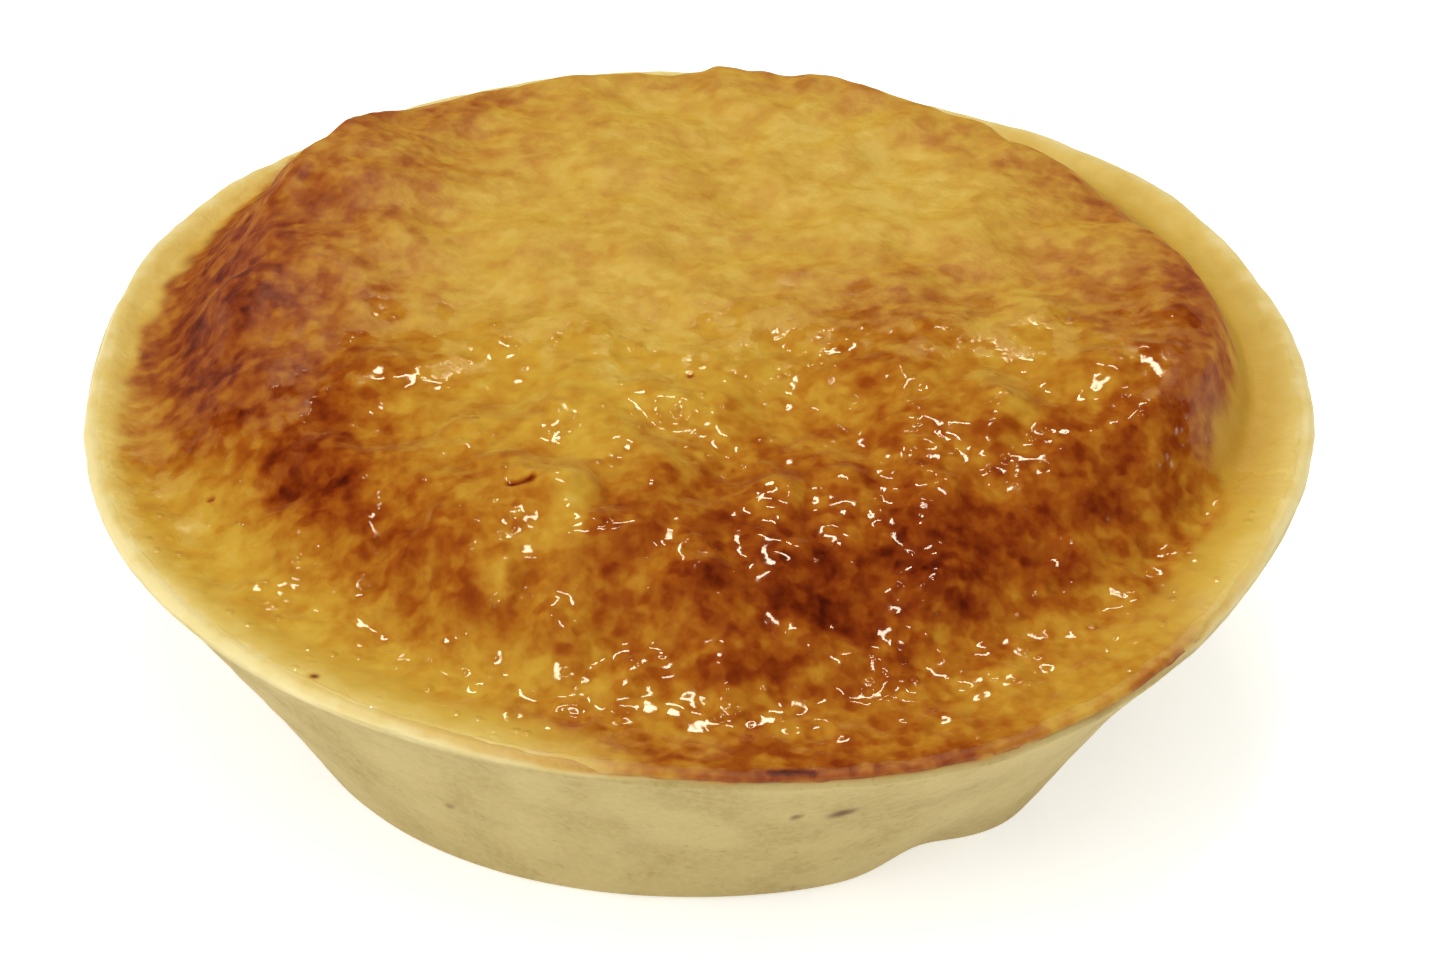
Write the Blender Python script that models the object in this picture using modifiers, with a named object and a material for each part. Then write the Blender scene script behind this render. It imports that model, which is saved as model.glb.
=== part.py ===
"""A pineapple queijada: a small open tart, baked in a plain tapered mould.

Two pieces, in metres, +Z up, base on Z = 0, front towards -Y.
  pastry_case  the pale shortcrust cup, a turned profile with a rounded rim
  filling      the baked pineapple filling, which fills the cup and puffs up into a browned mound
Both are first made perfectly round, then moved by one function that gives them the
uneven outline of a tart lined by hand, so the gap between them stays even.
"""
import math

import bmesh
import bpy
import numpy as np
from mathutils import Matrix

MM = 0.001

# Driving sizes of the tart
RIM_RADIUS = 39.4 * MM
RIM_HEIGHT = 20.65 * MM
BASE_RADIUS = 26.1 * MM
WALL = 2.3 * MM
FLOOR = 2.6 * MM
BASE_ROUNDING = 1.7 * MM
RIM_OUTER_ROUNDING = 0.6 * MM
RIM_INNER_ROUNDING = 0.9 * MM
WALL_HOLLOW = 0.45 * MM
GAP = 0.3 * MM

# The mound of the filling, as heights above the rim and distances from the middle
SHOULDER_HEIGHT = 4.4 * MM
SHOULDER_LIFTS = ((1, 0.57 * MM, 121), (2, 0.55 * MM, -97), (3, 0.54 * MM, 31), (4, 0.58 * MM, -98))
PEAK_HEIGHT = 5.6 * MM
FOOT_RADIUS = 35.2 * MM
LEDGE_DROP = 0.3 * MM

# How far the mound's slope reaches in from its foot on each side, and where it is steepest, in degrees
RIGHT_SLOPE = 2.8 * MM
BACK_SLOPE = 6.2 * MM
LEFT_SLOPE = 8.0 * MM
FRONT_SLOPE = 12.0 * MM
STEEPEST_ANGLE = -5.0
STEEPEST_WIDTH = 25.0
SWELL_MARGIN = 6.8 * MM

# How the hand-lined outline departs from a circle: (waves round the rim, size, direction in degrees)
RIM_WAVES = ((2, 0.51 * MM, -109), (3, 0.15 * MM, -9), (4, 0.25 * MM, 138),
             (5, 0.14 * MM, 69), (6, 0.16 * MM, -103), (7, 0.17 * MM, -48))
RIM_LIFTS = ((1, 0.10 * MM, -159), (2, 0.53 * MM, 45), (3, 0.28 * MM, 7))
BASE_WAVES = ((2, 0.13 * MM, 72), (3, 0.13 * MM, -73), (4, 0.27 * MM, 159))
FOOT_WAVES = ((1, 2.04 * MM, 93), (3, 0.32 * MM, 96), (4, 0.21 * MM, -12),
              (5, 0.41 * MM, -56), (6, 0.33 * MM, 112))

# A dented spot on the base's edge, and the bulge beside it
DENT_ANGLE = -58.0
BULGE_ANGLE = -43.0
DENT_WIDTH = 7.0
DENT_DEPTH = 0.5 * MM
DENT_LIFT = 0.8 * MM
BULGE_DEPTH = 0.6 * MM
INNER_EDGE = 0.92

# Pieces of fruit that swell the skin: (x, y, radius, height)
FRUIT_LUMPS = tuple((x * MM, y * MM, r * MM, h * MM) for x, y, r, h in (
    (-7.5, -19.0, 2.6, 0.9), (-11.2, -24.2, 2.3, 0.8), (-8.5, -27.0, 2.1, 0.7),
    (9.4, -16.4, 3.0, 0.6), (14.2, -22.9, 2.5, 0.7), (18.7, -9.7, 2.8, 0.6),
    (22.0, 1.1, 3.0, 0.5), (22.7, -19.0, 2.8, 0.7), (10.7, 13.3, 3.4, 0.5),
    (2.0, -31.0, 2.6, 0.5), (-24.0, -17.0, 2.8, 0.6), (-27.0, -4.0, 3.0, 0.6),
    (-21.0, 14.0, 3.4, 0.5), (4.5, 1.0, 3.4, 0.4)))

# Uneven rise of the filling: (grain of the noise, height, seed)
SWELLS = ((9.0 * MM, 0.75 * MM, 11), (4.0 * MM, 0.45 * MM, 12))

# Fineness of the meshes
TOP_CELLS = 50
INNER_RINGS = (0.42, 0.7)
OUTER_RINGS = (0.75, 0.5, 0.25)
TURN_STEPS = 100
CORNER_STEPS = 3
RIM_STEPS = 3


def waves(angle, terms):
    """Sum of cosine waves round the tart, each given by its count, size and direction."""
    return sum(size * np.cos(count * angle - math.radians(turn)) for count, size, turn in terms)


def smooth(t):
    """0 below 0, 1 above 1, and an S-shaped rise between."""
    t = np.clip(t, 0.0, 1.0)
    return t * t * (3.0 - 2.0 * t)


def hump(angle, centre, width):
    """A bell over the directions near the given one, in degrees."""
    away = (np.degrees(angle) - centre + 180.0) % 360.0 - 180.0
    return np.exp(-(away / width) ** 2)


def noise(x, y, grain, seed):
    """Gradient noise of about -1 to 1: random slopes on a square lattice, blended smoothly."""
    side = 32
    turn = np.random.default_rng(seed).uniform(0.0, 2.0 * np.pi, (side, side))
    u, v = x / grain, y / grain
    i, j = np.floor(u).astype(int), np.floor(v).astype(int)
    fu, fv = u - i, v - j

    def corner(di, dj):
        slope = turn[(i + di) % side, (j + dj) % side]
        return np.cos(slope) * (fu - di) + np.sin(slope) * (fv - dj)

    near = corner(0, 0) + smooth(fu) * (corner(1, 0) - corner(0, 0))
    far = corner(0, 1) + smooth(fu) * (corner(1, 1) - corner(0, 1))
    return 1.6 * (near + smooth(fv) * (far - near))


def outer_radius(z):
    """Radius of the case's outer wall, which flares from base to rim and is a little hollow between."""
    share = z / RIM_HEIGHT
    return BASE_RADIUS + (RIM_RADIUS - BASE_RADIUS) * share - 4.0 * WALL_HOLLOW * share * (1.0 - share)


def slope_length(angle):
    """How far the mound's slope reaches in from its foot: short at the right, long at the left and in front."""
    side = BACK_SLOPE + (LEFT_SLOPE - BACK_SLOPE) * (0.5 - 0.5 * np.cos(angle))
    side = side - (BACK_SLOPE - RIGHT_SLOPE) * hump(angle, STEEPEST_ANGLE, STEEPEST_WIDTH)
    return side + (FRONT_SLOPE - side) * smooth(-0.05 - 1.1 * np.sin(angle))


def filling_top(x, y):
    """Height of the filling's surface: a narrow ledge by the rim, and a mound steepest at the right."""
    angle, radius = np.arctan2(y, x), np.hypot(x, y)
    foot = FOOT_RADIUS + waves(angle, FOOT_WAVES)
    mound = smooth((foot - radius) / slope_length(angle))
    shoulder = SHOULDER_HEIGHT + waves(angle, SHOULDER_LIFTS) * smooth(radius / foot)
    crown = shoulder + (PEAK_HEIGHT - SHOULDER_HEIGHT) * (1.0 - (radius / foot) ** 2)
    height = RIM_HEIGHT - LEDGE_DROP + mound * (crown + LEDGE_DROP)
    inside = smooth((foot - radius) / SWELL_MARGIN)
    for grain, size, seed in SWELLS:
        height = height + inside * size * noise(x, y, grain, seed)
    for cx, cy, wide, high in FRUIT_LUMPS:
        height = height + high * np.exp(-((x - cx) ** 2 + (y - cy) ** 2) / (0.6 * wide) ** 2)
    return height


def hand_formed(points):
    """Moves points of the round tart to their places in the uneven one."""
    x, y, z = points.T
    angle, radius = np.arctan2(y, x), np.hypot(x, y)
    rise = np.clip(z / RIM_HEIGHT, 0.0, 1.0)
    edge = radius / outer_radius(rise * RIM_HEIGHT)
    low = (1.0 - rise) ** 3
    outward = rise * waves(angle, RIM_WAVES) + (1.0 - rise) * waves(angle, BASE_WAVES)
    skin = smooth((edge - INNER_EDGE) / (1.0 - INNER_EDGE))
    dent, bulge = (hump(angle, centre, DENT_WIDTH) for centre in (DENT_ANGLE, BULGE_ANGLE))
    outward += low * skin * (BULGE_DEPTH * bulge - DENT_DEPTH * dent)
    lift = rise * waves(angle, RIM_LIFTS) * edge + low * skin * DENT_LIFT * dent
    scale = 1.0 + outward * edge / np.maximum(radius, MM)
    return np.stack([x * scale, y * scale, z + lift], axis=1)


def points_of(mesh):
    """The mesh's vertices as an array of points."""
    flat = np.empty(len(mesh.vertices) * 3)
    mesh.vertices.foreach_get("co", flat)
    return flat.reshape(-1, 3)


def form_by_hand(mesh):
    """Gives a round mesh the uneven outline."""
    mesh.vertices.foreach_set("co", hand_formed(points_of(mesh)).ravel())
    mesh.update()


def centre_together(meshes):
    """Slides the pieces sideways, all alike, until the middle of their outline is on the Z axis."""
    points = np.concatenate([points_of(mesh) for mesh in meshes])
    middle = (points.min(axis=0) + points.max(axis=0)) / 2.0
    for mesh in meshes:
        mesh.transform(Matrix.Translation((-middle[0], -middle[1], 0.0)))


def material(name, colour, roughness):
    """A plain surface of one colour."""
    made = bpy.data.materials.new(name)
    made.use_nodes = True
    shader = made.node_tree.nodes["Principled BSDF"]
    shader.inputs["Base Color"].default_value = (*colour, 1.0)
    shader.inputs["Roughness"].default_value = roughness
    shader.inputs["Metallic"].default_value = 0.0
    return made


def add_piece(name, mesh, collection, finish):
    """Puts a finished mesh in the tart's collection under its own name."""
    mesh.name = name
    mesh.materials.clear()
    mesh.materials.append(finish)
    mesh.shade_smooth()
    mesh.set_sharp_from_angle(angle=math.radians(50))
    piece = bpy.data.objects.new(name, mesh)
    collection.objects.link(piece)
    return piece


def arc(centre, radius, start, end, steps):
    """Points (radius from the axis, height) on an arc, by angle in degrees."""
    turns = np.radians(np.linspace(start, end, steps + 1))
    return [(centre[0] + radius * math.cos(t), centre[1] + radius * math.sin(t)) for t in turns]


def case_profile():
    """Half section of the cup: out along the inner floor, up inside, over the rim, down outside, in along the base."""
    lean = math.atan2(RIM_RADIUS - BASE_RADIUS, RIM_HEIGHT)
    taper = math.degrees(lean)
    inner_floor = outer_radius(FLOOR) - WALL
    corner_height = RIM_HEIGHT - RIM_OUTER_ROUNDING
    outer_corner = (outer_radius(corner_height) - RIM_OUTER_ROUNDING / math.cos(lean), corner_height)
    inner_corner = (RIM_RADIUS - WALL + RIM_INNER_ROUNDING, RIM_HEIGHT - RIM_INNER_ROUNDING)
    base_corner = (outer_radius(BASE_ROUNDING) - BASE_ROUNDING / math.cos(lean), BASE_ROUNDING)
    points = [(0.0, FLOOR), (0.6 * inner_floor, FLOOR), (inner_floor, FLOOR)]
    points += [(outer_radius(f * RIM_HEIGHT) - WALL, f * RIM_HEIGHT) for f in INNER_RINGS]
    points += arc(inner_corner, RIM_INNER_ROUNDING, 180.0 - taper, 90.0, RIM_STEPS)
    points += arc(outer_corner, RIM_OUTER_ROUNDING, 90.0, -taper, RIM_STEPS)
    points += [(outer_radius(f * RIM_HEIGHT), f * RIM_HEIGHT) for f in OUTER_RINGS]
    points += arc(base_corner, BASE_ROUNDING, -taper, -90.0, CORNER_STEPS)
    points += [(0.85 * BASE_RADIUS, 0.0), (0.5 * BASE_RADIUS, 0.0), (0.0, 0.0)]
    return points


def turned(name, profile):
    """Mesh of a profile of (radius, height) points turned once round Z by a Screw modifier."""
    line = bpy.data.meshes.new(name + "_profile")
    line.from_pydata([(r, 0.0, z) for r, z in profile], [(i, i + 1) for i in range(len(profile) - 1)], [])
    holder = bpy.data.objects.new(name + "_profile", line)
    bpy.context.scene.collection.objects.link(holder)
    screw = holder.modifiers.new("turn", "SCREW")
    screw.steps = screw.render_steps = TURN_STEPS
    screw.use_merge_vertices = True
    screw.merge_threshold = 0.00001
    graph = bpy.context.evaluated_depsgraph_get()
    mesh = bpy.data.meshes.new_from_object(holder.evaluated_get(graph))
    bpy.data.objects.remove(holder)
    bpy.data.meshes.remove(line)
    return mesh


def square_to_disc(u, v):
    """Maps a square of half-width 1 to the unit disc, ring by ring, so its cells stay about equal."""
    across = np.abs(u) > np.abs(v)
    reach = np.where(across, u, v)
    safe = np.where(reach == 0.0, 1.0, reach)
    turn = np.where(across, np.pi / 4 * v / safe, np.pi / 2 - np.pi / 4 * u / safe)
    return reach * np.cos(turn), reach * np.sin(turn)


def filling_mesh():
    """A grid rounded into a disc and raised to the filling's surface, drawn down the cup's wall and closed below."""
    top_radius = outer_radius(RIM_HEIGHT) - WALL - GAP
    bottom = FLOOR + GAP
    form = bmesh.new()
    bmesh.ops.create_grid(form, x_segments=TOP_CELLS, y_segments=TOP_CELLS, size=1.0)
    flat = np.array([vertex.co[:2] for vertex in form.verts])
    x, y = square_to_disc(flat[:, 0], flat[:, 1])
    x, y = x * top_radius, y * top_radius
    for vertex, place in zip(form.verts, np.stack([x, y, filling_top(x, y)], axis=1)):
        vertex.co = place
    for height in [share * RIM_HEIGHT for share in reversed(INNER_RINGS)] + [bottom]:
        loose = [edge for edge in form.edges if edge.is_boundary]
        drawn = bmesh.ops.extrude_edge_only(form, edges=loose)["geom"]
        radius = outer_radius(height) - WALL - GAP
        for vertex in (g for g in drawn if isinstance(g, bmesh.types.BMVert)):
            direction = math.atan2(vertex.co.y, vertex.co.x)
            vertex.co = (radius * math.cos(direction), radius * math.sin(direction), height)
    bmesh.ops.holes_fill(form, edges=[edge for edge in form.edges if edge.is_boundary])
    bmesh.ops.recalc_face_normals(form, faces=form.faces)
    mesh = bpy.data.meshes.new("filling")
    form.to_mesh(mesh)
    form.free()
    return mesh


def main():
    for old in list(bpy.data.objects):
        bpy.data.objects.remove(old)
    tart = bpy.data.collections.new("pineapple_queijada")
    bpy.context.scene.collection.children.link(tart)

    pastry = material("pale_pastry", (0.58, 0.44, 0.20), 0.75)
    baked = material("baked_filling", (0.50, 0.24, 0.04), 0.25)

    case = turned("pastry_case", case_profile())
    filling = filling_mesh()
    form_by_hand(case)
    form_by_hand(filling)
    centre_together([case, filling])

    add_piece("pastry_case", case, tart, pastry)
    add_piece("filling", filling, tart, baked)


main()
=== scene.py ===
"""A pineapple queijada, a small baked tart, on a pale studio floor.

Lengths are worked out in millimetres and become metres as they enter a mesh, a lamp or the
camera. +Z is up, the tart's front faces -Y, and directions round it are in degrees from +X.
"""
import math

import bpy
import numpy as np
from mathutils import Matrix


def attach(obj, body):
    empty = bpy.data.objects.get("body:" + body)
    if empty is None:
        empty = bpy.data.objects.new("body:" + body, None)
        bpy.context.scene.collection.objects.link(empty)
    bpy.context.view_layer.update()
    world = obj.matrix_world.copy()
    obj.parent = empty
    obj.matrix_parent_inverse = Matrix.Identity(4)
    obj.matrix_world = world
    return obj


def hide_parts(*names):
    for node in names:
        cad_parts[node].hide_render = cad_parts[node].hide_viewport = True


MM = 0.001

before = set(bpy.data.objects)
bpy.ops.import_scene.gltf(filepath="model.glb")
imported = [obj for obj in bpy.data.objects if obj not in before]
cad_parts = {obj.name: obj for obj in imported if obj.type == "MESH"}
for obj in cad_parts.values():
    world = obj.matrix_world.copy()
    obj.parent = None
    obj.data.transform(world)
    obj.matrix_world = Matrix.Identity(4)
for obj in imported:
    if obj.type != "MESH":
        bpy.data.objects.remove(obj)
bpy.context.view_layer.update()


# Camera
# A long lens in front of the tart, looking down on it at the photograph's angle. The frame is
# 1440 by 979 pixels, and the tart nearly fills it from side to side.

FRAME_WIDTH_PX = 1440.0
FOCAL_LENGTH_PX = 4691.0
SENSOR_WIDTH = 36.0
LOOK_DOWN = math.radians(36.0)
CAMERA_DISTANCE = 300.0
AIM = np.array([1.36, -0.31, 12.46])

camera_data = bpy.data.cameras.new("camera")
camera_data.sensor_width = SENSOR_WIDTH
camera_data.lens = SENSOR_WIDTH * FOCAL_LENGTH_PX / FRAME_WIDTH_PX
camera_data.clip_start = 0.01
camera = bpy.data.objects.new("camera", camera_data)
bpy.context.scene.collection.objects.link(camera)
away = np.array([0.0, -math.cos(LOOK_DOWN), math.sin(LOOK_DOWN)])
camera.location = (AIM + CAMERA_DISTANCE * away) * MM
camera.rotation_euler = (math.pi / 2 - LOOK_DOWN, 0.0, 0.0)
bpy.context.scene.camera = camera
bpy.context.scene.view_settings.view_transform = "Standard"


# Pastry case
# A cup of pale shortcrust, pressed by thumb into a plain tapered tin and trimmed at its rim.
# It is baked dry and matte, with a floury speckle, and yellower and smoother where the rim
# has taken up butter and syrup.

RIM_RADIUS = 39.4
RIM_HEIGHT = 20.65
BASE_RADIUS = 26.1
WALL = 2.3
FLOOR = 2.6
BASE_ROUNDING = 1.7
RIM_OUTER_ROUNDING = 0.6
RIM_INNER_ROUNDING = 0.9
WALL_HOLLOW = 0.45

# How the hand-lined outline departs from a circle: waves round the rim, size, direction
RIM_WAVES = ((2, 0.51, -109), (3, 0.15, -9), (4, 0.25, 138),
             (5, 0.14, 69), (6, 0.16, -103), (7, 0.17, -48))
RIM_LIFTS = ((1, 0.10, -159), (2, 0.53, 45), (3, 0.28, 7))
BASE_WAVES = ((2, 0.13, 72), (3, 0.13, -73), (4, 0.27, 159))

# A dented spot on the base's edge, and the bulge beside it
DENT_ANGLE = -58.0
BULGE_ANGLE = -43.0
DENT_WIDTH = 7.0
DENT_DEPTH = 0.5
DENT_LIFT = 0.8
BULGE_DEPTH = 0.6

# Share of the outer radius past which the dent and the bulge act
INNER_EDGE = 0.92


def waves(angle, terms):
    """Sum of cosine waves round the tart, each given by its count, size and direction."""
    return sum(size * np.cos(count * angle - math.radians(turn)) for count, size, turn in terms)


def smooth(t):
    """0 below 0, 1 above 1, and an S-shaped rise between."""
    t = np.clip(t, 0.0, 1.0)
    return t * t * (3.0 - 2.0 * t)


def near_direction(angle, centre, width):
    """A bell round the tart: 1 in the direction `centre`, falling off over `width` degrees."""
    away = (np.degrees(angle) - centre + 180.0) % 360.0 - 180.0
    return np.exp(-(away / width) ** 2)


def outer_radius(z):
    """Radius of the case's outer wall: a straight flare less a parabola that hollows it."""
    share = z / RIM_HEIGHT
    return BASE_RADIUS + (RIM_RADIUS - BASE_RADIUS) * share - 4.0 * WALL_HOLLOW * share * (1.0 - share)


def hand_formed(points):
    """Moves points of the round tart outwards by the rim's and the base's waves, blended by height,
    and upwards by the rim's lifts; the dent and the bulge act on the outside near the base."""
    x, y, z = points.T
    angle, radius = np.arctan2(y, x), np.hypot(x, y)
    rise = np.clip(z / RIM_HEIGHT, 0.0, 1.0)
    edge = radius / outer_radius(rise * RIM_HEIGHT)
    low = (1.0 - rise) ** 3
    dent = near_direction(angle, DENT_ANGLE, DENT_WIDTH)
    bulge = near_direction(angle, BULGE_ANGLE, DENT_WIDTH)
    skin = smooth((edge - INNER_EDGE) / (1.0 - INNER_EDGE))
    outward = rise * waves(angle, RIM_WAVES) + (1.0 - rise) * waves(angle, BASE_WAVES)
    outward += low * skin * (BULGE_DEPTH * bulge - DENT_DEPTH * dent)
    lift = rise * waves(angle, RIM_LIFTS) * edge + low * skin * DENT_LIFT * dent
    scale = 1.0 + outward * edge / np.maximum(radius, 1.0)
    return np.stack([x * scale, y * scale, z + lift], axis=1)


def outline_middle():
    """Middle of the rim's bounding box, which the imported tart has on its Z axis."""
    angle = np.radians(np.arange(0.0, 360.0, 0.5))
    widest = outer_radius(RIM_HEIGHT - RIM_OUTER_ROUNDING) - 0.1
    ring = np.stack([widest * np.cos(angle), widest * np.sin(angle), np.full_like(angle, RIM_HEIGHT)], axis=1)
    ring = hand_formed(ring)
    return (ring.min(axis=0) + ring.max(axis=0)) / 2.0 * (1.0, 1.0, 0.0)


MIDDLE = outline_middle()


def noise(points, grain, seed):
    """Noise of about -1 to 1 in space: every corner of a cubic lattice, `grain` apart, has a random
    slope, and a point blends the heights that its cell's eight corners give it by an S-curve."""
    side = 24
    slopes = np.random.default_rng(seed).normal(size=(side, side, side, 3))
    slopes /= np.linalg.norm(slopes, axis=-1, keepdims=True)
    cell = points / grain
    corner = np.floor(cell).astype(int)
    part = cell - corner
    ease = part ** 3 * (part * (part * 6.0 - 15.0) + 10.0)
    total = np.zeros(len(points))
    for step in np.ndindex(2, 2, 2):
        index = (corner + step) % side
        slope = slopes[index[:, 0], index[:, 1], index[:, 2]]
        share = np.prod(np.where(step, ease, 1.0 - ease), axis=1)
        total += share * np.sum(slope * (part - step), axis=1)
    return 1.6 * total


def layers(points, grains, seed):
    """Sum of noises, each given by its grain and its size."""
    return sum(size * noise(points, grain, seed + n) for n, (grain, size) in enumerate(grains))


def arc(centre, radius, start, end, steps):
    """Points (radius from the axis, height) on an arc, by angle in degrees."""
    turns = np.radians(np.linspace(start, end, steps + 1))
    return [(centre[0] + radius * math.cos(t), centre[1] + radius * math.sin(t)) for t in turns]


def along(start, end, steps):
    """Evenly spaced points on a line from start to just before end."""
    share = np.arange(steps)[:, None] / steps
    return (np.array(start) * (1.0 - share) + np.array(end) * share).tolist()


# Radius of the ring nearest the axis, which a single face closes
INNERMOST = 0.6


def case_profile():
    """Half section of the cup as (radius, height): out along the underside, up the outer wall, over
    the rim, down the inner wall and in along the floor."""
    taper = math.degrees(math.atan2(RIM_RADIUS - BASE_RADIUS, RIM_HEIGHT))
    lean = math.cos(math.radians(taper))
    corner_height = RIM_HEIGHT - RIM_OUTER_ROUNDING
    base_corner = (outer_radius(BASE_ROUNDING) - BASE_ROUNDING / lean, BASE_ROUNDING)
    outer_corner = (outer_radius(corner_height) - RIM_OUTER_ROUNDING / lean, corner_height)
    inner_corner = (RIM_RADIUS - WALL + RIM_INNER_ROUNDING, RIM_HEIGHT - RIM_INNER_ROUNDING)
    heights = np.linspace(1.2 * BASE_ROUNDING, corner_height - 0.4, 62)
    points = along((INNERMOST, 0.0), (base_corner[0], 0.0), 24)
    points += arc(base_corner, BASE_ROUNDING, -90.0, -taper, 7)
    points += [(outer_radius(z), z) for z in heights]
    points += arc(outer_corner, RIM_OUTER_ROUNDING, -taper, 90.0, 9)
    points += along((outer_corner[0], RIM_HEIGHT), (inner_corner[0], RIM_HEIGHT), 6)[1:]
    points += arc(inner_corner, RIM_INNER_ROUNDING, 90.0, 180.0 - taper, 5)
    points += [(outer_radius(z) - WALL, z) for z in np.linspace(RIM_HEIGHT - 2.2, FLOOR, 7)]
    points += along((outer_radius(FLOOR) - WALL, FLOOR), (INNERMOST, FLOOR), 6)[1:]
    points += [(INNERMOST, FLOOR)]
    return np.array(points)


CASE_COLUMNS = 660

# Unevenness of the baked wall and crumbling of the trimmed rim: grain of the noise, size
CASE_RELIEF = ((11.0, 0.16), (3.2, 0.07), (1.1, 0.035))
RIM_CRUMBLE = ((4.5, 0.16), (1.6, 0.09))

# How far the wall is drawn in, so that its relief stays within the tart's size
INWARD = 0.08


def turned_grid(profile, columns):
    """Points of a profile carried round Z, row by row, with their directions."""
    angle = np.linspace(-np.pi, np.pi, columns, endpoint=False)
    radius, turn = np.meshgrid(profile[:, 0], angle, indexing="ij")
    height = np.repeat(profile[:, 1], columns)
    return np.stack([(radius * np.cos(turn)).ravel(), (radius * np.sin(turn)).ravel(), height], axis=1)


def ring_faces(rows, columns):
    """Quads between neighbouring rings of points, closed round, with the first and last ring filled."""
    row, column = np.meshgrid(np.arange(rows - 1), np.arange(columns), indexing="ij")
    here, there = row * columns + column, row * columns + (column + 1) % columns
    quads = np.stack([here, there, there + columns, here + columns], axis=-1).reshape(-1, 4).tolist()
    first = list(range(columns))[::-1]
    last = [(rows - 1) * columns + n for n in range(columns)]
    return quads + [first, last]


def piece(name, points, faces, material, **marks):
    """A smooth-shaded mesh object from points in millimetres, with a value for each point under
    each mark's name."""
    mesh = bpy.data.meshes.new(name)
    mesh.from_pydata(((points - MIDDLE) * MM).tolist(), [], faces)
    for mark, values in marks.items():
        mesh.attributes.new(mark, "FLOAT", "POINT").data.foreach_set("value", values.astype(np.float32))
    mesh.materials.append(material)
    mesh.shade_smooth()
    mesh.update()
    made = bpy.data.objects.new(name, mesh)
    bpy.context.scene.collection.objects.link(made)
    return made


class Wire:
    """A value in a material; arithmetic on it adds Math nodes."""

    def __init__(self, finish, socket):
        self.finish, self.socket = finish, socket

    def _math(self, operation, first, second):
        return self.finish.node("Math", {"operation": operation}, {0: first, 1: second})

    def __add__(self, other):
        return self._math("ADD", self, other)

    def __mul__(self, other):
        return self._math("MULTIPLY", self, other)

    def __sub__(self, other):
        return self._math("SUBTRACT", self, other)

    def __rsub__(self, other):
        return self._math("SUBTRACT", other, self)

    __radd__, __rmul__ = __add__, __mul__

    def ramp(self, low, high):
        """0 where the value is below low, 1 above high, and an S-shaped rise between."""
        limits = {"Value": self, "From Min": low, "From Max": high}
        return self.finish.node("MapRange", {"interpolation_type": "SMOOTHSTEP"}, limits)


class Finish:
    """A material that is being wired up round one Principled shader."""

    def __init__(self, name):
        self.material = bpy.data.materials.new(name)
        self.material.use_nodes = True
        self.tree = self.material.node_tree
        self.shader = self.tree.nodes["Principled BSDF"]
        self.place = self.node("TexCoord", output="Object")

    def node(self, kind, settings=None, values=None, output=0):
        """Adds a shader node: its settings first, then a number, colour or Wire for each socket."""
        made = self.tree.nodes.new("ShaderNode" + kind)
        settings = dict(settings or {})
        stops = settings.pop("stops", None)
        for name, setting in settings.items():
            setattr(made, name, setting)
        for n, (position, shade) in enumerate(stops or ()):
            stop = made.color_ramp.elements[n] if n < 2 else made.color_ramp.elements.new(position)
            stop.position, stop.color = position, shade
        for name, value in (values or {}).items():
            self.join(made.inputs[name], value)
        return Wire(self, made.outputs[output])

    def join(self, socket, value):
        """Links a Wire to a socket, or sets the socket's own value."""
        if isinstance(value, Wire):
            self.tree.links.new(value.socket, socket)
        else:
            socket.default_value = value

    def set(self, **values):
        """Sets or links the shader's sockets, named with _ for each space."""
        for name, value in values.items():
            self.join(self.shader.inputs[name.replace("_", " ")], value)

    def mark(self, name):
        """The value that each point of the mesh carries under this name."""
        return self.node("Attribute", {"attribute_name": name}, output="Fac")

    def grain(self, size, detail=3.0, roughness=0.55, squeeze=(1.0, 1.0, 1.0)):
        """Noise of about 0 to 1 with blotches of this size in millimetres, squeezed on each axis."""
        place = self.node("Mapping", None, {"Vector": self.place, "Scale": squeeze})
        values = {"Vector": place, "Scale": 1.0 / (size * MM), "Detail": detail, "Roughness": roughness}
        return self.node("TexNoise", None, values)

    def blend(self, share, first, second):
        """Mixes two colours by a share."""
        return self.node("Mix", {"data_type": "RGBA"}, {0: share, 6: first, 7: second}, output=2)


def colour(red, green, blue):
    """A colour as seen on a screen, 0 to 255, turned into linear light with full cover."""
    parts = np.array([red, green, blue]) / 255.0
    linear = np.where(parts <= 0.04045, parts / 12.92, ((parts + 0.055) / 1.055) ** 2.4)
    return (*linear.tolist(), 1.0)


def buttery(finish):
    """Buttery crust and custard along the rim, alike on both pieces: golden inside, cream at the
    very edge."""
    share = finish.mark("edge") + (finish.grain(2.1, 3.0, 0.5) - 0.5) * 0.5
    stops = [(0.0, colour(203, 156, 56)), (1.0, colour(246, 229, 166)), (0.45, colour(217, 180, 78)),
             (0.8, colour(233, 205, 116))]
    return finish.node("ValToRGB", {"stops": stops}, {"Fac": share})


# Where the crust begins to pale towards the rim's outer edge, and over what width
PALING_START = 34.3
PALING_WIDTH = 4.3


def edge_share(radius):
    """How near a spot is to the rim's outer edge, where the crust is palest: 0 at the ledge, 1 at
    the edge."""
    return np.clip((radius - PALING_START) / PALING_WIDTH, 0.0, 1.0)


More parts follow.
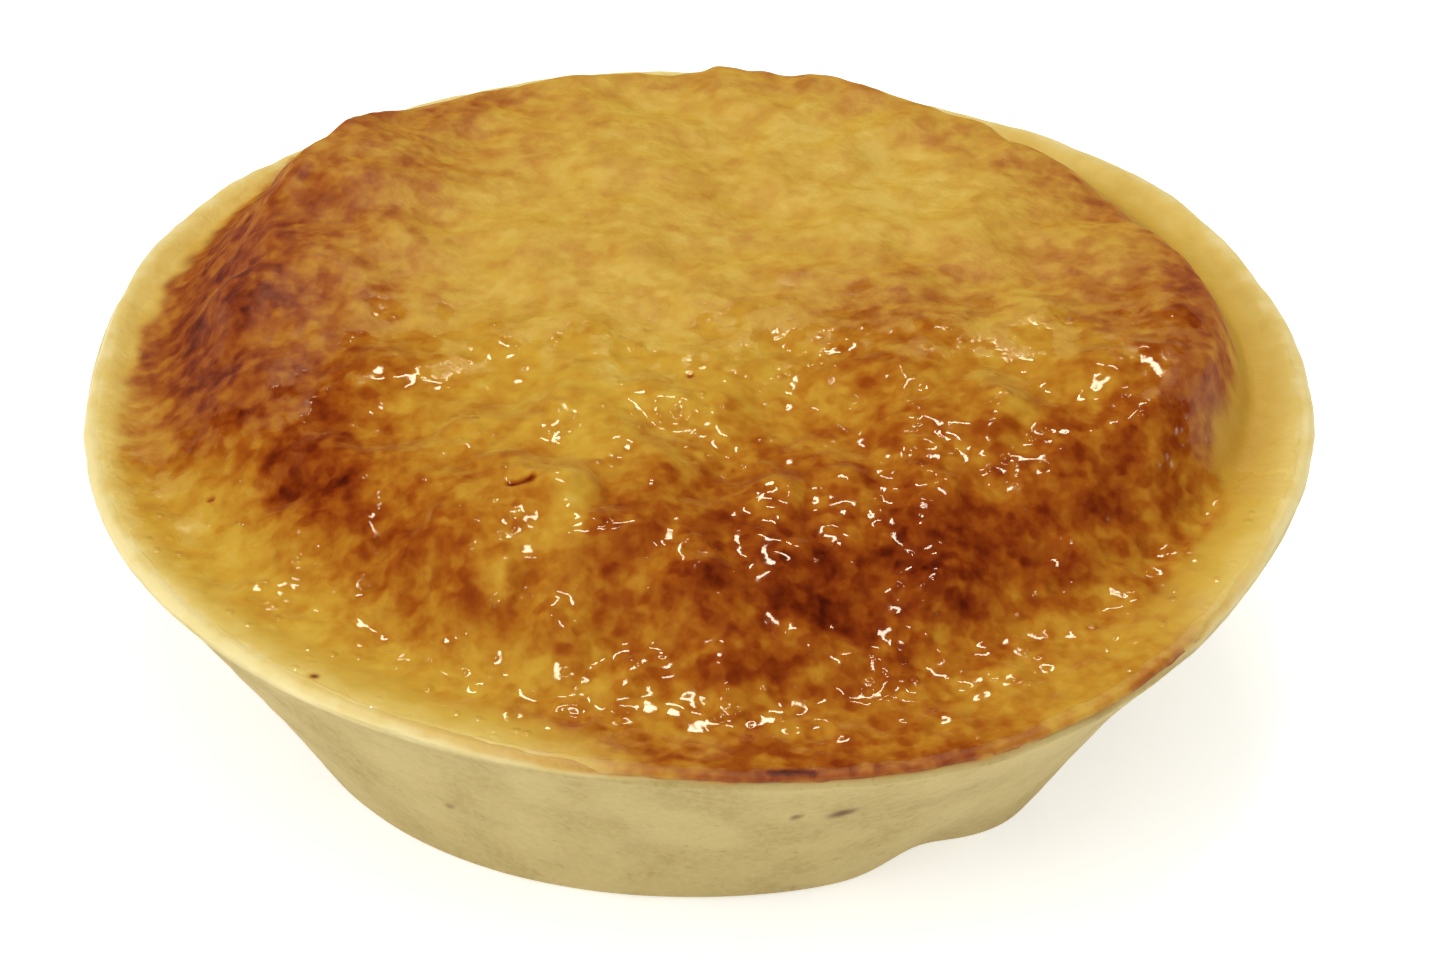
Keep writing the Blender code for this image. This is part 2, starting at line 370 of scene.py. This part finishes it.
def pastry_finish():
    """Dry pale dough with floury and toasted specks, turning to smooth buttery yellow on the rim."""
    finish = Finish("shortcrust")
    rim, soaked, toast = finish.mark("rim"), finish.mark("soaked"), finish.mark("toast")
    upwards = (1.0, 1.0, 0.55)
    cloud = finish.grain(6.0, 3.0, 0.5, upwards)
    flour = finish.grain(0.5, 4.0, 0.7, upwards)
    speck = finish.grain(0.9, 2.0, 0.5, upwards).ramp(0.64, 0.74)
    dough = finish.blend(cloud.ramp(0.35, 0.65), colour(188, 167, 106), colour(170, 148, 86))
    dough = finish.blend(flour.ramp(0.35, 0.65) * 0.3, dough, colour(204, 184, 126))
    dough = finish.blend(speck * 0.3, dough, colour(142, 110, 56))
    syrup = finish.blend(flour.ramp(0.35, 0.7), colour(196, 134, 48), colour(172, 100, 30))
    shade = finish.blend(rim, dough, buttery(finish))
    shade = finish.blend(soaked, shade, syrup)
    shade = finish.blend(toast, shade, colour(104, 66, 22))
    finish.set(Base_Color=shade, Roughness=0.82 - rim * 0.3 - soaked * 0.2)
    finish.set(Subsurface_Weight=0.12, Subsurface_Radius=(1.0, 0.6, 0.3), Subsurface_Scale=1.5 * MM)
    finish.set(Coat_Weight=soaked * 0.3, Coat_Roughness=0.2)
    bumps = {"Strength": 0.25, "Distance": 0.12 * MM, "Height": flour * 0.6 + finish.grain(0.25, 2.0) * 0.4}
    finish.set(Normal=finish.node("Bump", None, bumps))
    return finish.material


profile = case_profile()
case_points = turned_grid(profile, CASE_COLUMNS)
x, y, z = case_points.T
radius, angle = np.hypot(x, y), np.arctan2(y, x)
outside = smooth((radius - outer_radius(z) + 1.2) / 0.6)
on_rim = smooth((z - RIM_HEIGHT + 1.1) / 0.9)
upright = smooth(z / 2.0) * outside
relief = layers(case_points, CASE_RELIEF, 40) * upright
crumble = layers(case_points, RIM_CRUMBLE, 50) * on_rim
outward = (relief + 0.6 * crumble - INWARD * upright) / np.maximum(radius, 1.0)
case_points = hand_formed(case_points)
case_points[:, 0] *= 1.0 + outward
case_points[:, 1] *= 1.0 + outward
case_points[:, 2] += 0.5 * crumble

# The rim's yellow band dips a little way down the outside, unevenly, and less where syrup has
# soaked the edge in front
edge_noise = layers(case_points, ((3.0, 0.5), (1.2, 0.3)), 60)
soak = np.clip(near_direction(angle, -82.0, 24.0) + 0.75 * near_direction(angle, -52.0, 16.0), 0.0, 1.0)
rim_band = smooth((z - RIM_HEIGHT + 1.3 - 0.9 * soak + 0.25 * edge_noise) / (1.0 - 0.4 * soak))
soak = soak * smooth((z - RIM_HEIGHT + 0.5 + 0.3 * edge_noise) / 0.45)

# Scorched crumbs and stains on the wall: direction, height, half width, half height, strength
FLECKS = ((-75.6, 14.6, 0.75, 0.75, 1.0), (-80.0, 14.5, 0.35, 0.5, 0.8), (-65.0, 14.0, 2.6, 1.3, 0.16),
          (-96.0, 8.2, 1.6, 1.2, 0.1), (-117.0, 9.5, 0.3, 0.3, 0.6), (35.0, 12.0, 0.4, 0.4, 0.8),
          (150.0, 14.5, 0.35, 0.4, 0.8), (95.0, 8.0, 0.5, 0.45, 0.8), (-160.0, 6.0, 0.3, 0.3, 0.8))
toast = np.zeros(len(z))
for direction, height, wide, tall, strength in FLECKS:
    sideways = radius * np.radians((np.degrees(angle) - direction + 180.0) % 360.0 - 180.0)
    far = (sideways / wide) ** 2 + ((z - height - 0.4 * sideways) / tall) ** 2
    toast = np.maximum(toast, strength * np.exp(-far ** 2))
toast *= upright

shortcrust_case = piece("shortcrust_case", case_points, ring_faces(len(profile), CASE_COLUMNS),
                        pastry_finish(), rim=rim_band, soaked=soak, toast=toast,
                        edge=edge_share(radius) - 0.5 * soak)
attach(shortcrust_case, "root")
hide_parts("pastry_case")


# Baked filling
# Crushed pineapple in a sweet custard, baked until it puffed into a low mound that browned
# round its shoulder. Syrup has boiled up through it and set as a wet, uneven gloss.

SHOULDER_HEIGHT = 4.4
SHOULDER_LIFTS = ((1, 0.57, 121), (2, 0.55, -97), (3, 0.54, 31), (4, 0.58, -98))
PEAK_HEIGHT = 5.6
FOOT_RADIUS = 35.2
FOOT_WAVES = ((1, 2.04, 93), (3, 0.32, 96), (4, 0.21, -12), (5, 0.41, -56), (6, 0.33, 112))
LEDGE_DROP = 0.3

# How far the mound's slope reaches in from its foot on each side, and where it is steepest
RIGHT_SLOPE = 2.8
BACK_SLOPE = 6.2
LEFT_SLOPE = 8.0
FRONT_SLOPE = 12.0
STEEPEST_ANGLE = -5.0
STEEPEST_WIDTH = 25.0
SWELL_MARGIN = 6.8

# Pieces of fruit that swell the skin: x, y, radius, height
FRUIT_LUMPS = (
    (-7.5, -19.0, 2.6, 0.9), (-11.2, -24.2, 2.3, 0.8), (-8.5, -27.0, 2.1, 0.7),
    (9.4, -16.4, 3.0, 0.6), (14.2, -22.9, 2.5, 0.7), (18.7, -9.7, 2.8, 0.6),
    (22.0, 1.1, 3.0, 0.5), (22.7, -19.0, 2.8, 0.7), (10.7, 13.3, 3.4, 0.5),
    (2.0, -31.0, 2.6, 0.5), (-24.0, -17.0, 2.8, 0.6), (-27.0, -4.0, 3.0, 0.6),
    (-21.0, 14.0, 3.4, 0.5), (4.5, 1.0, 3.4, 0.4))

# Uneven rise of the filling: grain of the noise, height, seed
SWELLS = ((9.0, 0.75, 11), (4.0, 0.45, 12))

# Browned stretches of the skin: from x, y to x, y, half width, depth of browning
BROWNED = (
    (-30, 10, -32, 4, 7, 0.55), (-22, 22, -30, 16, 2.5, 0.25), (-17, 36, -31, 20, 4, 0.35),
    (-30, 13, -20, -7, 6, 0.3), (-30, 0, -30, -6, 4.5, 0.55), (-18, 6, -22, -3, 2.5, 0.12),
    (-25, -13, -23, -15, 2.5, 0.65), (-25, -8, -22, -12, 4, 0.5), (-20, -18, -13, -25, 4, 0.45),
    (-7, -26, -6, -16, 3.5, 0.18), (-4, -20, 3, -22, 5, 0.45), (2, -25, 11, -25, 2, 0.5),
    (8, -22, 17, -22, 3, 0.65), (12, -18, 21, -19, 2.5, 0.45), (3, -30, 9, -25, 2.5, 0.4),
    (-3, -28, -2, -28, 6, 0.4), (22, -16, 30, -9, 2.5, 0.2), (24, -16, 27, -18, 5, 0.3),
    (5, -15, 26, -12, 6, 0.4), (-18, -18, -8, -14, 4.5, 0.2), (12, -4, 12, 5, 6, 0.35),
    (28, 2, 25, 4, 6.5, 0.3), (32, 8, 32, 0, 2.5, 0.4), (30, -5, 31, -6, 4.5, 0.45),
    (30, 14, 22, 31, 2.5, 0.3), (0, 32, 9, 33, 5.5, 0.2), (3, -38, 16, -37, 5, 0.48),
    (9, -30, 14, -28, 5.5, 0.35), (-21, 13, -17, 23, 5.5, 0.3), (-13, 25, -7, 24, 2, 0.5),
    (19, -22, 26, -26, 5, 0.15), (9, 27, 31, 13, 3.5, 0.25), (-10, -34, -3, -36, 2, 0.35))

# Stretches that stayed pale, and pieces of fruit with hardly any skin on them, in the same form
PALE = (
    (-7, -20, -7, -13, 2, 0.55), (14, 16, 11, 10, 5.5, 0.85), (8, 23, 10, 22, 4.5, 0.95),
    (-5, -6, -4, -18, 1.5, 0.45), (-12, 24, -1, 25, 2.5, 0.6), (21, -2, 21, 3, 1.5, 0.5),
    (18, -7, 19, -10, 1.5, 0.5), (-11, -24, -11, -24, 1, 0.5), (-8, -23, -7, -19, 1.5, 0.55))

# Syrup that pooled and darkened along the edge, in the same form
POOLED = (
    (-5.4, -35.6, 0.8, -37.4, 0.7, 0.6), (4.6, -37.9, 6.8, -37.7, 0.6, 1.0),
    (11.2, -37.2, 20.6, -34.2, 0.5, 0.5), (25.3, -29.4, 28.6, -26.4, 0.7, 0.5))

# Dark specks, and a pit beside a piece of fruit that is coloured dark, in the same form
SPECKS = (
    (-21.7, -30.4, -21.8, -30.4, 0.3, 1.0), (-0.2, -7.0, -0.1, -7.0, 0.22, 0.8),
    (-10.7, -18.4, -9.5, -18.6, 0.45, 0.9), (-29.5, -13.2, -29.3, -13.2, 0.25, 0.8))


def flat_noise(x, y, grain, seed):
    """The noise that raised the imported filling: random slopes on a square lattice, blended smoothly."""
    side = 32
    turn = np.random.default_rng(seed).uniform(0.0, 2.0 * np.pi, (side, side))
    u, v = x / grain, y / grain
    i, j = np.floor(u).astype(int), np.floor(v).astype(int)
    fu, fv = u - i, v - j

    def corner(di, dj):
        slope = turn[(i + di) % side, (j + dj) % side]
        return np.cos(slope) * (fu - di) + np.sin(slope) * (fv - dj)

    near = corner(0, 0) + smooth(fu) * (corner(1, 0) - corner(0, 0))
    far = corner(0, 1) + smooth(fu) * (corner(1, 1) - corner(0, 1))
    return 1.6 * (near + smooth(fv) * (far - near))


def mound_edge(angle):
    """Radius of the mound's foot, and how far its slope reaches in: short at the right, long in front."""
    side = BACK_SLOPE + (LEFT_SLOPE - BACK_SLOPE) * (0.5 - 0.5 * np.cos(angle))
    side = side - (BACK_SLOPE - RIGHT_SLOPE) * near_direction(angle, STEEPEST_ANGLE, STEEPEST_WIDTH)
    slope = side + (FRONT_SLOPE - side) * smooth(-0.05 - 1.1 * np.sin(angle))
    return FOOT_RADIUS + waves(angle, FOOT_WAVES), slope


def filling_form(x, y):
    """Height of the filling as packed: ledge, mound, swells and fruit lumps."""
    angle, radius = np.arctan2(y, x), np.hypot(x, y)
    foot, slope = mound_edge(angle)
    mound, inside = smooth((foot - radius) / slope), smooth((foot - radius) / SWELL_MARGIN)
    shoulder = SHOULDER_HEIGHT + waves(angle, SHOULDER_LIFTS) * smooth(radius / foot)
    crown = shoulder + (PEAK_HEIGHT - SHOULDER_HEIGHT) * (1.0 - (radius / foot) ** 2)
    height = RIM_HEIGHT - LEDGE_DROP + mound * (crown + LEDGE_DROP)
    for grain, size, seed in SWELLS:
        height = height + inside * size * flat_noise(x, y, grain, seed)
    for cx, cy, wide, high in FRUIT_LUMPS:
        height = height + high * np.exp(-((x - cx) ** 2 + (y - cy) ** 2) / (0.6 * wide) ** 2)
    return height


def stretch_away(x, y, ax, ay, bx, by):
    """Distance of each spot from a straight stretch between two places."""
    length = max((bx - ax) ** 2 + (by - ay) ** 2, 1e-6)
    share = np.clip(((x - ax) * (bx - ax) + (y - ay) * (by - ay)) / length, 0.0, 1.0)
    return np.hypot(x - ax - share * (bx - ax), y - ay - share * (by - ay))


def painted(x, y, stretches):
    """Soft union of stretches: each fades with the square of the distance in its half widths."""
    bare = np.ones(len(x))
    for ax, ay, bx, by, wide, depth in stretches:
        bare *= 1.0 - depth * np.exp(-(stretch_away(x, y, ax, ay, bx, by) / wide) ** 2)
    return 1.0 - bare


def shreds(x, y, count, seed):
    """Fibres of fruit as short rounded ridges, most of them lying from side to side."""
    draw = np.random.default_rng(seed)
    height = np.zeros(len(x))
    for _ in range(count):
        away, turn = 35.0 * math.sqrt(draw.uniform()), draw.uniform(0.0, 2.0 * math.pi)
        cx, cy = away * math.cos(turn), away * math.sin(turn)
        lie, half = draw.normal(0.25, 0.7), draw.uniform(0.8, 2.4)
        wide, high = draw.uniform(0.4, 0.8), draw.uniform(0.04, 0.12)
        dx, dy = half * math.cos(lie), half * math.sin(lie)
        distance = stretch_away(x, y, cx - dx, cy - dy, cx + dx, cy + dy)
        height = np.maximum(height, high * np.exp(-(distance / wide) ** 2))
    return height


def blisters(x, y, count, seed):
    """Syrup beads as low domes and burst bubbles as rings, scattered more thickly in front."""
    draw = np.random.default_rng(seed)
    height = np.zeros(len(x))
    for _ in range(count):
        away, turn = 36.5 * math.sqrt(draw.uniform()), draw.uniform(0.0, 2.0 * math.pi)
        cx, cy = away * math.cos(turn), away * math.sin(turn)
        wide, burst = 0.45 + 0.85 * draw.uniform(), draw.uniform() < 0.2
        high = 0.17 * wide * (0.4 if cy > 5.0 else 1.0)
        distance = np.hypot(x - cx, y - cy) / wide
        dome = np.exp(-(distance - 1.0) ** 2 * 6.0) if burst else np.exp(-distance ** 2)
        height += high * dome
    return height


# Browning of the palest skin, cells across its grid, and how much they crowd towards the front
LEAST_BROWN = 0.18
FILLING_CELLS = 304
DENSER_FRONT = 0.12

# Unevenness of the skin: grain of the noise, height
RELIEF = ((3.2, 0.24), (1.4, 0.12), (0.75, 0.045))

# The filling ends on the rim's outer rounding, which begins where the flat of the rim stops
EDGE_REACH = 38.74
BARE_RIM = 38.25

# Where the skin is level with the rim, where it thins out, and how thick it lies there
LEVEL_RADIUS = 38.0
SKIN_LIMIT = 37.9
FILM = 0.02
FRONT_FILM = 0.08
EDGE_SINK = 0.4

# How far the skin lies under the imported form, to leave room for its fibres, beads and pits
SETTLED = 0.12
SHRED_COUNT = 260
BLISTER_COUNT = 760
PIT_DEPTH = 0.25

# The crease along the left of the mound
FOLD_RADIUS = 29.9
FOLD_HEIGHT = 0.3
FOLD_WIDTH = 0.55

# Gap between the filling and the inside of the case
GAP = 0.3


def square_to_disc(u, v):
    """Maps a square of half-width 1 to the unit disc, ring by ring, so its cells stay about equal."""
    across = np.abs(u) > np.abs(v)
    reach = np.where(across, u, v)
    safe = np.where(reach == 0.0, 1.0, reach)
    turn = np.where(across, np.pi / 4 * v / safe, np.pi / 2 - np.pi / 4 * u / safe)
    return reach * np.cos(turn), reach * np.sin(turn)


def disc_faces(cells, below):
    """Quads of a square grid, and of the rings drawn down from its edge, with the last ring filled."""
    side = cells + 1
    row, column = np.meshgrid(np.arange(cells), np.arange(cells), indexing="ij")
    here = row * side + column
    quads = np.stack([here, here + 1, here + side + 1, here + side], axis=-1).reshape(-1, 4).tolist()
    rim = edge_order(cells)
    count, start = len(rim), side * side
    rings = [rim] + [np.arange(count) + start + n * count for n in range(below)]
    for upper, lower in zip(rings, rings[1:]):
        quads += np.stack([lower, np.roll(lower, -1), np.roll(upper, -1), upper], axis=1).tolist()
    return quads + [rings[-1][::-1].tolist()]


def edge_order(cells):
    """Numbers of a square grid's edge points, in order round it."""
    side = cells + 1
    bottom, right = np.arange(cells), np.arange(cells) * side + cells
    top, left = side * side - 1 - np.arange(cells), (cells - np.arange(cells)) * side
    return np.concatenate([bottom, right, top, left])


def filling_finish():
    """Golden custard that browns through amber to near black, glossy where syrup lies on it."""
    finish = Finish("baked_pineapple")
    brown, wet, pale = finish.mark("browning"), finish.mark("wet"), finish.mark("pale")
    patch = finish.grain(2.1, 3.0, 0.5).ramp(0.36, 0.64)
    fleck = finish.grain(0.75, 3.0, 0.6).ramp(0.3, 0.7)
    morsels = {"Vector": finish.place, "Scale": 1.0 / (0.75 * MM), "Smoothness": 0.65}
    morsel = finish.node("TexVoronoi", {"feature": "SMOOTH_F1"}, morsels, output=1)
    morsel = finish.node("SeparateColor", None, {0: morsel})
    depth = brown + (patch - 0.5) * (0.1 + brown * 0.12) + (fleck - 0.5) * (0.06 + brown * 0.04)
    depth = depth + (morsel - 0.5) * (0.1 + brown * 0.16)
    stops = [(0.0, colour(222, 187, 88)), (1.0, colour(80, 25, 10)), (0.14, colour(213, 170, 63)),
             (0.30, colour(202, 149, 50)), (0.45, colour(186, 120, 34)), (0.60, colour(165, 87, 22)),
             (0.75, colour(140, 60, 16)), (0.88, colour(113, 40, 12))]
    skin = finish.node("ValToRGB", {"stops": stops}, {"Fac": depth})
    skin = finish.blend(pale, skin, buttery(finish))
    damp = (wet + (patch - 0.5) * 0.4).ramp(0.4, 0.65)
    grazing = finish.node("LayerWeight", None, {"Blend": 0.5}, output=1).ramp(0.42, 0.72)
    finish.set(Base_Color=skin, Roughness=0.5 - damp * 0.43 + grazing * 0.45, IOR=1.45)
    finish.set(Subsurface_Weight=0.2, Subsurface_Radius=(1.0, 0.4, 0.15), Subsurface_Scale=0.7 * MM)
    grit, ripple = finish.grain(0.45, 2.0, 0.5), finish.grain(0.7, 0.0)
    bead = finish.node("TexVoronoi", None, {"Vector": finish.place, "Scale": 1.0 / (1.1 * MM)})
    bead = (0.38 - bead).ramp(0.0, 0.38) * finish.grain(3.0, 1.0).ramp(0.48, 0.62)
    bumps = {"Strength": 1.0, "Distance": 0.1 * MM}
    bumps["Height"] = ripple * 0.4 + bead * 1.2 * damp + (1.0 - damp) * grit * 0.7
    finish.set(Normal=finish.node("Bump", None, bumps))
    return finish.material


v, u = np.meshgrid(*[np.linspace(-1.0, 1.0, FILLING_CELLS + 1)] * 2, indexing="ij")
u, v = u.ravel(), v.ravel()
v = v - DENSER_FRONT * (1.0 - v * v)
x, y = square_to_disc(u, v)
x, y = x * EDGE_REACH, y * EDGE_REACH
flat = np.stack([x, y, np.zeros(len(x))], axis=1)
angle, radius = np.arctan2(y, x), np.hypot(x, y)
foot, slope = mound_edge(angle)
inside = smooth((foot - radius) / SWELL_MARGIN)

# Over the rim in front, where it left only a thin edge of pastry bare; elsewhere up to the rim
turn = np.degrees(angle)
front = smooth((8.0 - y) / 26.0)
spill = smooth((turn + 110.0) / 18.0) * smooth((-30.0 - turn) / 16.0)
limit = SKIN_LIMIT + 0.7 * spill + layers(flat, ((3.0, 0.3), (1.2, 0.15)), 120)
film = FILM + FRONT_FILM * spill + layers(flat, ((2.0, 0.03), (0.8, 0.02)), 130)

# The pale skin that the syrup never reached: a band along the rim, and the steep slope at the
# right, broken only by dark specks
to_right = smooth((turn + 24.0) / 14.0) * smooth((66.0 - turn) / 18.0)
to_front_left = near_direction(angle, -140.0, 32.0)
band_start = foot + 0.1 - 0.7 * slope * to_right + 1.4 * to_front_left
band_start -= 1.4 * near_direction(angle, 148.0, 13.0)
band_start += layers(flat, ((2.6, 0.7), (1.1, 0.35)), 140)
dark_specks = painted(x, y, SPECKS)
pale = smooth((radius - band_start) / (1.1 + 1.0 * to_front_left)) * (1.0 - spill) * (1.0 - dark_specks)

left_crest = near_direction(angle, 168.0, 42.0) * smooth((radius - 20.0) / 5.0)
rough = (0.35 + 0.65 * front) * (1.0 - 0.6 * pale) * (1.0 - 0.5 * left_crest)
stray = inside * layers(flat, ((6.0, 0.9), (2.6, 0.4)), 160)
height = filling_form(x * (1.0 + stray / 30.0), y * (1.0 + stray / 30.0)) - SETTLED
height += rough * layers(flat, RELIEF, 70)
height += (inside * shreds(x, y, SHRED_COUNT, 5)
           + (0.3 + 0.7 * front) * blisters(x, y, BLISTER_COUNT, 6))
fold_line = FOLD_RADIUS + layers(flat, ((6.0, 1.6), (2.2, 0.7)), 150)
fold = np.exp(-((radius - fold_line) / FOLD_WIDTH) ** 2)
height += FOLD_HEIGHT * near_direction(angle, 152.0, 34.0) * fold
height -= PIT_DEPTH * dark_specks

# The skin runs out level with the rim, shares its crumbling, and follows its rounding
rise = 1.4 + 2.4 * front
near_rim = smooth((radius - LEVEL_RADIUS + rise) / rise)
crumble = layers(flat + (0.0, 0.0, RIM_HEIGHT), RIM_CRUMBLE, 50)
over = np.clip(radius - BARE_RIM, 0.0, RIM_OUTER_ROUNDING)
rounding = RIM_OUTER_ROUNDING - np.sqrt(RIM_OUTER_ROUNDING ** 2 - over ** 2)
height = height * (1.0 - near_rim) + near_rim * (RIM_HEIGHT + film + 0.5 * crumble) - rounding
height -= EDGE_SINK * smooth((radius - limit) / 0.6)

# Browning, deepest round the mound, with streaky edges
warp_x = x + layers(flat, ((3.5, 1.0), (1.5, 0.7)), 80)
warp_y = y + layers(flat, ((3.5, 1.0), (1.5, 0.7)), 90)
untouched = painted(warp_x, warp_y, PALE)
browning = LEAST_BROWN + (1.0 - LEAST_BROWN) * painted(warp_x, warp_y, BROWNED) * (1.0 - untouched)
browning -= 0.6 * LEAST_BROWN * untouched
# The specks and the pit beside a piece of fruit are coloured near black
browning = np.maximum(browning, np.maximum(painted(x, y, POOLED), dark_specks))
browning += layers(flat, ((3.0, 0.04), (1.6, 0.07)), 100)

# Syrup lies wettest in front and on browned skin; the rim, left crest and right slope are drier
wet = np.clip(0.15 + 0.85 * front + 0.25 * browning, 0.0, 1.0)
wet = wet * (1.0 - 0.8 * smooth((radius - 37.4) / 0.8))
right_slope = to_right * smooth((radius - foot + slope + 1.5) / 1.5)
wet *= (1.0 - 0.7 * left_crest) * (1.0 - 0.85 * right_slope)

order = edge_order(FILLING_CELLS)
ring_x, ring_y = x[order] / EDGE_REACH, y[order] / EDGE_REACH
below = []
for drop in (1.4, 3.0, 8.0, RIM_HEIGHT - FLOOR - GAP):
    level = RIM_HEIGHT - drop
    reach = outer_radius(level) - WALL - GAP
    below.append(np.stack([ring_x * reach, ring_y * reach, np.full(len(order), level)], axis=1))
filling_points = hand_formed(np.concatenate([np.stack([x, y, height], axis=1)] + below))
spare = np.zeros(len(order) * len(below))
marks = {"browning": browning, "wet": wet, "pale": pale, "edge": edge_share(radius)}
marks = {name: np.concatenate([np.clip(values, 0.0, 1.0), spare]) for name, values in marks.items()}
baked_filling = piece("baked_filling", filling_points, disc_faces(FILLING_CELLS, len(below)),
                      filling_finish(), **marks)
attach(baked_filling, "root")
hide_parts("filling")


# Floor and light
# A plain white studio floor under broad soft panels on all sides, which leave no highlights.
# Two small lamps, one high behind the tart and one overhead, make the sparkle of the syrup.

FLOOR_HALF = 2.5
FLOOR_WHITE = (0.92, 0.92, 0.92, 1.0)
FLOOR_GLOW = (0.9, 0.95, 1.0, 1.0)

floor_mesh = bpy.data.meshes.new("floor")
corners = [(-FLOOR_HALF, -FLOOR_HALF, 0.0), (FLOOR_HALF, -FLOOR_HALF, 0.0),
           (FLOOR_HALF, FLOOR_HALF, 0.0), (-FLOOR_HALF, FLOOR_HALF, 0.0)]
floor_mesh.from_pydata(corners, [], [(0, 1, 2, 3)])
floor_finish = Finish("white_floor")
floor_finish.set(Base_Color=FLOOR_WHITE, Roughness=0.9)
floor_finish.set(Emission_Color=FLOOR_GLOW, Emission_Strength=0.55)
floor_mesh.materials.append(floor_finish.material)
floor = bpy.data.objects.new("floor", floor_mesh)
bpy.context.scene.collection.objects.link(floor)


def lamp(name, azimuth, elevation, distance, width, height, radiance, tint=(1.0, 1.0, 1.0), gloss=True):
    """A soft panel that faces the tart: its power is its radiance over its own area and half sphere."""
    data = bpy.data.lights.new(name, "AREA")
    data.shape, data.size, data.size_y = "RECTANGLE", width, height
    data.energy = radiance * math.pi * width * height
    data.color = tint
    made = bpy.data.objects.new(name, data)
    turn, rise = math.radians(azimuth), math.radians(elevation)
    place = (math.sin(turn) * math.cos(rise), -math.cos(turn) * math.cos(rise), math.sin(rise))
    made.location = [distance * part for part in place]
    made.rotation_euler = (math.pi / 2 - rise, 0.0, turn)
    made.visible_camera = False
    made.visible_glossy = gloss
    bpy.context.scene.collection.objects.link(made)


# Direction from the front towards the right and height, in degrees; distance, width and height in
# metres; radiance
GLINT = (1.0, 0.9, 0.68)
lamp("front_panel", -10.0, 58.0, 1.5, 1.4, 1.0, 1.93, gloss=False)
lamp("left_panel", -66.0, 28.0, 1.5, 1.0, 0.8, 2.6, gloss=False)
lamp("right_panel", 80.0, 35.0, 1.5, 1.0, 0.8, 0.85, gloss=False)
lamp("back_panel", 180.0, 40.0, 1.5, 1.4, 0.8, 0.9, gloss=False)
lamp("sparkle", 172.0, 64.0, 1.2, 0.3, 0.1, 27.0, GLINT)
lamp("high_sparkle", 0.0, 87.0, 1.2, 0.26, 0.09, 27.0, GLINT)

world = bpy.data.worlds.new("studio")
world.use_nodes = True
world.node_tree.nodes["Background"].inputs["Color"].default_value = (1.0, 0.92, 0.76, 1.0)
world.node_tree.nodes["Background"].inputs["Strength"].default_value = 0.17
world.cycles_visibility.glossy = False
bpy.context.scene.world = world
